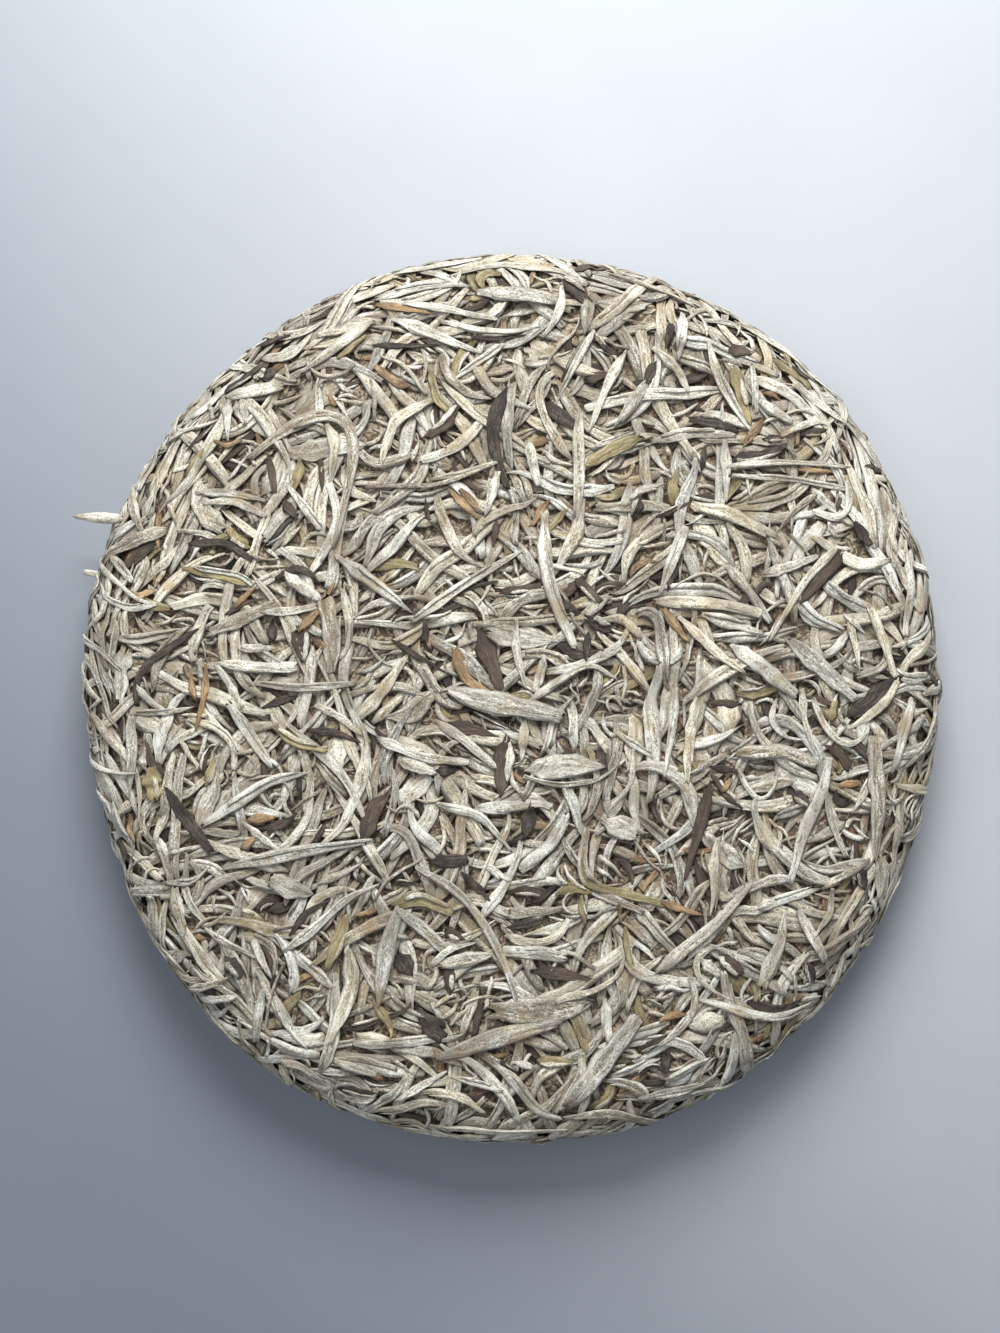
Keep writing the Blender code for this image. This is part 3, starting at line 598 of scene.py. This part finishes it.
# How ragged the foot is, for the half width, and the tip, for the foot, and where the two ragged ends lie
RAGGED, RAGGED_TIP = 0.3, 0.6
FOOT_END, TIP_START, TIP_LENGTH = 0.12, 0.85, 0.15

# Strands: how far round a bud is for its half width, the radius of its caps, and its seed's shift across
GIRTH, CAP_RADIUS, SEED_ACROSS = 2.6, 0.2, 0.37

# Arrays of tubes of one number of rings and sides: the points, what is painted on them, and where they lie
Tubes = namedtuple("Tubes", "points seed length girth tone hue depth run flank")


def bud_tubes(buds, detail, rng, place):
    """Tubes of many buds. The function place turns chart places and heights into points and their depth."""
    stations, upper, lower = detail
    count, sides = len(buds), upper + lower
    over, under = (np.arange(upper) + 0.5) / upper, 1.0 + (np.arange(lower) + 0.5) / lower
    turn = math.pi * np.concatenate([over, under])
    pick = np.linspace(0, FINE - 1, stations)
    share = pick / (FINE - 1)

    def sampled(rows):
        return np.stack([np.interp(pick, np.arange(FINE), row) for row in rows])[:, :, None]

    x, y, half_width, rise, middle = [
        sampled([getattr(bud, name) for bud in buds]) for name in ("x", "y", "half_width", "rise", "middle")
    ]
    across_x, across_y = [sampled([bud.across[i] for bud in buds]) for i in (0, 1)]
    folds, hollow = [
        np.array([getattr(KINDS[bud.kind], name) for bud in buds])[:, None, None]
        for name in ("fold", "hollow")
    ]

    # Folds run the length of a bud: each line of its mesh has its own height, which drifts a little. A step
    # runs slantwise over the bud, where the edge of its outer scale lies on the next one.
    fold = rng.normal(0.0, 1.0, (count, 1, sides))
    fold = fold + FOLD_DRIFT * rng.normal(0.0, 1.0, (count, stations, sides))
    fold = np.clip(fold, -FOLD_LIMIT, FOLD_LIMIT) * folds
    edge = rng.uniform(*STEP_PLACE, (count, 1)) + rng.uniform(*STEP_SLANT, (count, 1)) * share
    past_edge = np.clip((turn / math.pi - edge[:, :, None]) * upper, -0.5, 0.5) * (turn < math.pi)
    fold = fold + STEP * (folds > STEP_FOLD) * past_edge
    cosine, sine = np.cos(turn), np.sin(turn)
    thick = rise * (1.0 + fold) * np.where(sine > 0.0, 1.0, UNDERSIDE)
    lateral = half_width * cosine * (1.0 + FOLD_WIDENS * fold)
    upward = thick * sine - hollow * rise * (1.0 - np.abs(cosine)) ** 1.2 * (sine > 0.0)
    ends = np.clip(1.0 - share / FOOT_END, 0.0, 1.0) + RAGGED_TIP * ramp(share, TIP_START, TIP_LENGTH)
    ragged = RAGGED * rng.normal(0.0, 1.0, (count, 1, sides)) * half_width.max(axis=1)[:, None]
    ragged = ragged * ends[None, :, None]
    place_x = x + across_x * lateral + across_y * ragged
    place_y = y + across_y * lateral - across_x * ragged
    points, depth = place(place_x, place_y, middle + upward)

    shape = (count, stations, sides)
    length = np.array([np.hypot(np.diff(bud.x), np.diff(bud.y)).sum() for bud in buds])
    each = {name: np.array([getattr(bud, name) for bud in buds]) for name in ("seed", "tone", "hue")}
    return Tubes(
        points, each["seed"], length, GIRTH * half_width.max(axis=(1, 2)),
        *[np.broadcast_to(each[name][:, None, None], shape) for name in ("tone", "hue")],
        depth, np.broadcast_to(share[None, :, None], shape), np.broadcast_to(np.abs(cosine), shape),
    )


def tube_faces(count, stations, sides, first):
    """Vertex numbers of closed tubes: quads round them and a cap at each end."""
    start = first + (np.arange(count) * stations * sides)[:, None, None]
    ring, side = np.arange(stations - 1)[None, :, None], np.arange(sides)[None, None, :]
    a, b = start + ring * sides + side, start + ring * sides + (side + 1) % sides
    quads = np.stack([a, b, b + sides, a + sides], axis=-1).reshape(-1, 4)
    foot = start[:, 0] + np.arange(sides)[::-1]
    tip = start[:, 0] + (stations - 1) * sides + np.arange(sides)
    return quads, foot, tip


# Rectangle of a bud in the unwrapped map: start and size of the strip round it, and its two caps
STRIP_START, STRIP_SIZE = (0.09, 0.06), (0.89, 0.88)
FOOT_CAP, TIP_CAP, CAP_RADII = (0.04, 0.28), (0.04, 0.72), (0.03, 0.16)


def tube_maps(tubes, first, total):
    """Coordinates of the strands in millimetres, and an unwrapped map with a rectangle for each bud."""
    count, stations, sides = tubes.tone.shape
    ring, side = np.meshgrid(np.arange(stations - 1), np.arange(sides), indexing="ij")
    along = np.stack([ring, ring, ring + 1, ring + 1], -1)[None] / (stations - 1)
    around = np.stack([side, side + 1, side + 1, side], -1)[None] / sides
    length, girth = [values[:, None, None, None] for values in (tubes.length, tubes.girth)]
    turn = 2.0 * math.pi * np.arange(sides) / sides
    shift = np.stack([tubes.seed, SEED_ACROSS * tubes.seed], -1)
    cap = shift[:, None] + CAP_RADIUS * np.stack([np.cos(turn), np.sin(turn)], -1)
    strand = [np.stack([along * length, around * girth], -1) + shift[:, None, None, None], cap, cap]

    columns = max(1, round(math.sqrt(total / 4.0)))
    rows = math.ceil(total / columns)
    number = first + np.arange(count)
    corner = np.stack([number % columns, number // columns], -1)
    strip = np.stack(np.broadcast_arrays(along, around), -1)
    quads = corner[:, None, None, None] + STRIP_START + STRIP_SIZE * strip
    caps = [
        corner[:, None] + middle + CAP_RADII * np.stack([np.cos(angle), np.sin(angle)], -1)
        for middle, angle in ((FOOT_CAP, -turn), (TIP_CAP, turn))
    ]
    return strand, [layer / (columns, rows) for layer in (quads, *caps)]


def make_piece(name, groups, material):
    """One mesh of all the tubes in the groups, each of which has its own number of rings and sides."""
    total = sum(len(tubes.seed) for tubes in groups)
    points, faces, strands, bakes = [], [], [], []
    first_bud, first_point = 0, 0
    for tubes in groups:
        count, stations, sides = tubes.tone.shape
        faces += tube_faces(count, stations, sides, first_point)
        strand, bake = tube_maps(tubes, first_bud, total)
        strands += [layer.reshape(-1, 2) for layer in strand]
        bakes += [layer.reshape(-1, 2) for layer in bake]
        points.append(tubes.points.reshape(-1, 3))
        first_bud += count
        first_point += count * stations * sides

    points = np.concatenate(points) * MM
    sizes = np.concatenate([np.full(len(face), face.shape[1]) for face in faces])
    loops = np.concatenate([face.ravel() for face in faces])
    mesh = bpy.data.meshes.new(name)
    mesh.vertices.add(len(points))
    mesh.vertices.foreach_set("co", points.ravel())
    mesh.loops.add(len(loops))
    mesh.loops.foreach_set("vertex_index", loops)
    mesh.polygons.add(len(sizes))
    mesh.polygons.foreach_set("loop_start", np.concatenate([[0], np.cumsum(sizes)[:-1]]))
    mesh.update(calc_edges=True)
    for title, layers in (("Strand", strands), ("OFBake", bakes)):
        values = np.concatenate(layers).astype(np.float32)
        mesh.uv_layers.new(name=title).data.foreach_set("uv", values.ravel())
    for title in ("tone", "hue", "depth", "run", "flank"):
        values = np.concatenate([getattr(tubes, title).ravel() for tubes in groups])
        mesh.attributes.new(title, "FLOAT", "POINT").data.foreach_set("value", values.astype(np.float32))
    mesh.shade_smooth()
    mesh.materials.append(material)
    add_piece(name, mesh)


def add_piece(name, mesh):
    piece = bpy.data.objects.new(name, mesh)
    bpy.context.scene.collection.objects.link(piece)
    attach(piece, BODY)
    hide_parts(NODE)


class Nodes:
    """Short forms for building a material's nodes."""

    def __init__(self, name):
        self.material = bpy.data.materials.new(name)
        self.material.use_nodes = True
        self.tree = self.material.node_tree
        self.shader = self.tree.nodes["Principled BSDF"]

    def add(self, kind, output=0, inputs=None, **settings):
        """Adds a node, fills its inputs and gives one output."""
        node = self.tree.nodes.new("ShaderNode" + kind)
        for key, value in settings.items():
            setattr(node, key, value)
        for key, value in (inputs or {}).items():
            self.put(node.inputs[key], value)
        return node.outputs[output]

    def put(self, socket, value):
        """Links a socket to the value's socket, or sets it."""
        if isinstance(value, bpy.types.NodeSocket):
            self.tree.links.new(value, socket)
        else:
            socket.default_value = value

    def attributes(self, *titles):
        return [self.add("Attribute", "Fac", attribute_name=title) for title in titles]

    def math(self, operation, first, second):
        return self.add("Math", 0, {0: first, 1: second}, operation=operation)

    def weighed(self, *parts):
        """Sum of values, each times its weight."""
        total = 0.0
        for value, weight in parts:
            total = self.math("ADD", self.math("MULTIPLY", value, weight), total)
        return total

    def mix(self, share, first, second):
        return self.add("Mix", 2, {"Factor": share, 6: first, 7: second}, data_type="RGBA")

    def ease(self, value, low, high, to_low=0.0, to_high=1.0):
        """Value that goes smoothly from to_low to to_high while the given one goes from low to high."""
        values = {"Value": value, "From Min": low, "From Max": high, "To Min": to_low, "To Max": to_high}
        return self.add("MapRange", 0, values, interpolation_type="SMOOTHSTEP")

    def coat(self, base, *layers):
        """Lays sRGB colours over a base. Each has a value, its range and the colour's share at both ends."""
        for value, low, high, to_low, to_high, colour in layers:
            base = self.mix(self.ease(value, low, high, to_low, to_high), base, srgb(*colour))
        return base

    def strands(self, along, across, detail, crinkle):
        """Noise drawn out along a bud: its changes a millimetre along and across it."""
        strand = self.add("UVMap", uv_map="Strand")
        place = self.add("Mapping", 0, {"Vector": strand, "Scale": (along, across, 1.0)})
        return self.noise(place, 1.0, detail, crinkle)

    def noise(self, place, scale, detail, crinkle=0.0):
        values = {"Vector": place, "Scale": scale, "Detail": detail, "Distortion": crinkle}
        return self.add("TexNoise", "Fac", values)

    def finish(self, colour, height, bump_mm, **settings):
        """Sets the shader's colour, bump and other values."""
        bump = self.add("Bump", 0, {"Distance": bump_mm * MM, "Height": height})
        for key, value in {"Normal": bump, "Base_Color": colour, **settings}.items():
            self.put(self.shader.inputs[key.replace("_", " ")], value)
        return self.material


def srgb(red, green, blue):
    """Linear colour of an sRGB one in 0 to 255."""
    parts = [value / 255.0 for value in (red, green, blue)]
    return *[part / 12.92 if part <= 0.04045 else ((part + 0.055) / 1.055) ** 2.4 for part in parts], 1.0


def down_material():
    """Downy silver buds: pale hairy fibres with fine brown lines between them, stained in patches, with a
    painted highlight along their sides and painted shade at their edges and in the gaps.
    """
    n = Nodes("silver_down")
    tone, hue, depth, run, flank = n.attributes("tone", "hue", "depth", "run", "flank")
    broad = n.strands(0.14, 1.2, 2.0, 0.6)
    fine = n.strands(0.9, 3.2, 3.0, 1.6)
    speck = n.strands(3.0, 5.0, 3.0, 1.8)
    place = n.add("TexCoord", "Object")
    patch, stain = n.noise(place, 110.0, 2.0), n.noise(place, 130.0, 3.0)
    lines = n.weighed((broad, 0.26), (fine, 0.36), (speck, 0.38))
    grey = n.mix(hue, srgb(150, 149, 139), srgb(164, 151, 125))
    white = n.mix(hue, srgb(228, 230, 220), srgb(234, 225, 198))
    brown = n.mix(tone, srgb(88, 75, 59), srgb(128, 113, 88))
    base = n.mix(n.ease(lines, 0.42, 0.515), brown, n.mix(tone, grey, white))
    base = n.coat(
        base,
        (lines, 0.52, 0.59, 0.0, 0.9, (251, 250, 241)),
        # Painted highlight: a pale band along the sides of each bud, standing in for light caught on its rims
        (flank, 0.45, 0.75, 0.0, 0.25, (242, 240, 226)),
        (patch, 0.46, 0.64, 0.0, 0.5, (108, 95, 75)),
        (stain, 0.55, 0.70, 0.0, 0.45, (156, 130, 80)),
        # Partly the darker edges of the buds themselves, partly painted shade where their sides meet what
        # lies beneath
        (flank, 0.86, 1.0, 0.0, 0.4, (106, 92, 72)),
        (run, 0.0, 0.16, 0.4, 0.0, (122, 105, 80)),
        # Painted shade: darker where a place lies deep among the buds near it and below the pile's level
        (depth, 0.25, 0.9, 0.0, 0.5, (118, 98, 70)),
    )
    return n.finish(base, lines, 0.45, Roughness=0.85, Sheen_Weight=0.12, Sheen_Roughness=0.6)


# Bare scales and leaves: the material, its dark, light, streak and foot colours in sRGB, and its roughness.
# The foot colour also paints the veins, and painted shade at the edges and in the gaps
LEAVES = {
    "dark": ("dark_scale", (36, 31, 31), (90, 73, 58), (112, 100, 86), (38, 32, 30), 0.75),
    "olive": ("olive_leaf", (104, 90, 56), (164, 148, 100), (194, 184, 152), (84, 72, 50), 0.7),
    "tan": ("tan_scale", (92, 68, 46), (178, 140, 94), (196, 176, 142), (76, 56, 40), 0.7),
    "stem": ("pale_stem", (112, 97, 80), (204, 197, 176), (226, 222, 206), (80, 66, 52), 0.75),
}


def leaf_material(name, dark, light, streak, foot, roughness):
    """Bare scales and leaves, darker towards the foot: dark veins, pale streaks and flecks of down. Their
    edges are darkened, partly as painted shade, and the gaps get painted shade, both in the foot colour.
    """
    n = Nodes(name)
    tone, depth, run, flank = n.attributes("tone", "depth", "run", "flank")
    veins = n.weighed((n.strands(0.25, 2.6, 3.0, 0.8), 0.6), (n.strands(1.2, 4.0, 3.0, 1.5), 0.4))
    patch = n.strands(0.35, 0.9, 3.0, 1.0)
    flecks = n.strands(3.0, 5.0, 3.0, 1.8)
    base = n.coat(
        n.mix(n.weighed((tone, 0.75), (patch, 0.25)), srgb(*dark), srgb(*light)),
        (veins, 0.40, 0.50, 0.7, 0.0, foot),
        (n.weighed((patch, 0.4), (veins, 0.6)), 0.49, 0.58, 0.0, 0.6, streak),
        (flecks, 0.52, 0.60, 0.0, 0.6, streak),
        (run, 0.05, 0.6, 0.5, 0.0, foot),
        # Partly the darker edges of the scales themselves, partly painted shade where their sides meet what
        # lies beneath
        (flank, 0.8, 1.0, 0.0, 0.4, foot),
        # Painted shade: darker where a place lies deep among the scales near it and below the pile's level
        (depth, 0.3, 0.95, 0.0, 0.5, foot),
    )
    return n.finish(base, n.weighed((veins, 0.7), (flecks, 0.3)), 0.45, Roughness=roughness)


def core_material():
    """Crumb of broken leaf and bud under the buds."""
    n = Nodes("leaf_crumb")
    place = n.add("TexCoord", "Object")
    shreds = n.noise(place, 380.0, 4.0, 2.5)
    grain = n.noise(place, 1400.0, 3.0, 1.0)
    base = n.mix(n.ease(shreds, 0.42, 0.62), srgb(92, 76, 60), srgb(178, 166, 142))
    base = n.coat(base, (grain, 0.38, 0.56, 0.7, 0.0, (80, 65, 52)))
    return n.finish(base, n.weighed((shreds, 0.6), (grain, 0.4)), 0.9, Roughness=0.9)


# Buds that jut out of the left side: ends from the middle of the cake, and width. Then thickness, tone, hue
JUTTING = (
    (Vector((-80.0, 39.9, 12.2)), Vector((-98.7, 41.0, 14.4)), 2.6),
    (Vector((-86.0, 26.8, 11.8)), Vector((-96.7, 28.5, 12.5)), 2.3),
)
JUTTING_LOOK = (0.7, 0.7, 0.4)


def jutting_tubes(rng):
    """Tubes of the buds that jut out of the left side."""
    buds = []
    thick, tone, hue = JUTTING_LOOK
    for root, tip, width in JUTTING:
        line = [root[i] + (tip[i] - root[i]) * ALONG + MIDDLE[i] for i in (0, 1)]
        half_width = bud_outline("bud", width, rng)
        rise, middle = thick * half_width, root.z + (tip.z - root.z) * ALONG
        across = across_line(*line)
        buds.append(Bud("bud", *line, across, half_width, rise, middle, tone, hue, rng.uniform()))

    def place(x, y, height):
        return np.stack([x, y, height], -1), np.zeros(x.shape)

    return bud_tubes(buds, KINDS["bud"].detail, rng, place)


# The core under the buds: how far below the skin it lies, how uneven it is, and its rings and sectors
CORE_DEPTH, CORE_RELIEF = 2.3, 0.4
CORE_RINGS, CORE_SECTORS = 96, 240


def make_core():
    """Closed uneven core under the buds."""
    rng = np.random.default_rng(SEED)
    along = np.linspace(0.0, TOTAL_LENGTH, CORE_RINGS + 2)[1:-1]
    bearing = 2.0 * math.pi * np.arange(CORE_SECTORS) / CORE_SECTORS
    lift = rng.normal(-CORE_DEPTH, CORE_RELIEF, (CORE_RINGS, CORE_SECTORS))
    x, y = along[:, None] * np.cos(bearing), along[:, None] * np.sin(bearing)
    points = wrap(x, y, lift, True).reshape(-1, 3)
    zero = np.zeros(1)
    ends = [wrap(zero, zero, zero - CORE_DEPTH, from_top) for from_top in (True, False)]
    top, under = len(points), len(points) + 1
    faces = []
    for i in range(CORE_SECTORS):
        j = (i + 1) % CORE_SECTORS
        last = (CORE_RINGS - 1) * CORE_SECTORS
        faces += [(top, i, j), (under, last + j, last + i)]
        for ring in range(CORE_RINGS - 1):
            a, b = ring * CORE_SECTORS, (ring + 1) * CORE_SECTORS
            faces.append((a + i, b + i, b + j, a + j))
    mesh = bpy.data.meshes.new("leaf_core")
    mesh.from_pydata((np.concatenate([points, *ends]) * MM).tolist(), [], faces)
    mesh.shade_smooth()
    mesh.materials.append(core_material())
    add_piece("leaf_core", mesh)


# The fewest cells of the map that a bud shows in to be made at all, and to be made in full detail, and the
# most buds in a group
LEAST_CELLS, CLEAR_CELLS = 7, 60
MOST_IN_GROUP = 320


def lay_side(side, rng):
    """Tubes of all the buds of a side of the cake, by kind."""
    bed = Bed(side.reach + MARGIN)
    buds = drop_buds(bed, side, rng)
    press = Press(bed, side)
    shown = bed.shown_cells(len(buds))

    def place(x, y, height):
        points = wrap(x, y, press.lift(x, y, height), side is TOP)
        points[..., 2] = np.maximum(points[..., 2], 0.0)
        return points, press.depth(x, y, height)

    groups = {}
    for kind, form in KINDS.items():
        found = [(bud, cells) for bud, cells in zip(buds, shown) if bud.kind == kind and cells >= LEAST_CELLS]
        clear = [bud for bud, cells in found if cells >= CLEAR_CELLS]
        others = [bud for bud, cells in found if cells < CLEAR_CELLS]
        parts = math.ceil(len(clear) / MOST_IN_GROUP)
        if side is TOP:
            chosen = [(clear[part::parts], form.detail) for part in range(parts)] + [(others, form.plain)]
        else:
            chosen = [(clear + others, form.plain)]
        groups[kind] = [bud_tubes(some, detail, rng, place) for some, detail in chosen if some]
    return groups


def make_buds():
    """Every bud and scale: the silver buds as a few pieces, and each other kind as one."""
    rng = np.random.default_rng(SEED)
    top, under = lay_side(TOP, rng), lay_side(UNDER, rng)
    down = down_material()
    materials = {kind: leaf_material(*leaf) for kind, leaf in LEAVES.items()}
    for kind, form in KINDS.items():
        groups, material = top[kind] + under[kind], materials.get(kind, down)
        if kind != "bud":
            make_piece(form.piece, groups, material)
            continue
        for number, group in enumerate(groups, 1):
            jutting = [jutting_tubes(rng)] if number == 1 else []
            make_piece(f"{form.piece}_{number}", [group, *jutting], material)


def add_light(name, place, size, power, colour):
    """Square light that faces the middle of the floor."""
    data = bpy.data.lights.new(name, "AREA")
    data.size, data.energy, data.color = size, power, colour
    lamp = bpy.data.objects.new(name, data)
    lamp.location = place
    lamp.rotation_euler = (-Vector(place)).to_track_quat("-Z", "Y").to_euler()
    bpy.context.scene.collection.objects.link(lamp)


# How far the floor lies below the cake, so that the two don't flicker
FLOOR_GAP = 0.3


def make_studio():
    """Pale floor, painted darker away from the light, and soft light from the top of the picture."""
    bpy.ops.mesh.primitive_plane_add(size=4.0, location=(0.0, 0.0, -FLOOR_GAP * MM))
    floor = bpy.context.object
    floor.name = "floor"
    n = Nodes("pale_floor")
    place = n.add("TexCoord", "Object")
    x, y = [n.add("SeparateXYZ", axis, {0: place}) for axis in "XY"]
    # Painted shade: the floor is painted darker away from the key light, towards the lower left
    toward_light = n.weighed((x, 1.1), (y, 0.7))
    dust = n.noise(place, 30.0, 4.0)
    base = n.mix(n.ease(toward_light, -0.20, 0.12), srgb(118, 125, 134), srgb(174, 179, 185))
    base = n.coat(base, (dust, 0.3, 0.7, 0.0, 0.04, (90, 96, 104)))
    floor.data.materials.append(n.finish(base, dust, 0.05, Roughness=0.7))
    world = bpy.data.worlds.new("studio")
    bpy.context.scene.world = world
    world.use_nodes = True
    world.node_tree.nodes["Background"].inputs["Color"].default_value = srgb(232, 239, 250)
    world.node_tree.nodes["Background"].inputs["Strength"].default_value = 0.39
    add_light("key", (0.02, 0.44, 0.40), size=0.31, power=5.4, colour=(1.0, 0.99, 0.97))
    add_light("fill", (-0.5, 0.1, 0.85), size=0.7, power=2.1, colour=(0.97, 0.99, 1.0))


def make_camera():
    """Camera straight above, so that the middle of the cake falls where the photograph shows it."""
    data = bpy.data.cameras.new("camera")
    data.lens = LENS
    data.sensor_width = SENSOR
    camera = bpy.data.objects.new("camera", data)
    camera.location = Vector((*(MIDDLE + EYE_FROM_MIDDLE), EYE_HEIGHT)) * MM
    bpy.context.scene.collection.objects.link(camera)
    bpy.context.scene.camera = camera
    bpy.context.scene.view_settings.view_transform = "Standard"


make_camera()
make_studio()
make_core()
make_buds()
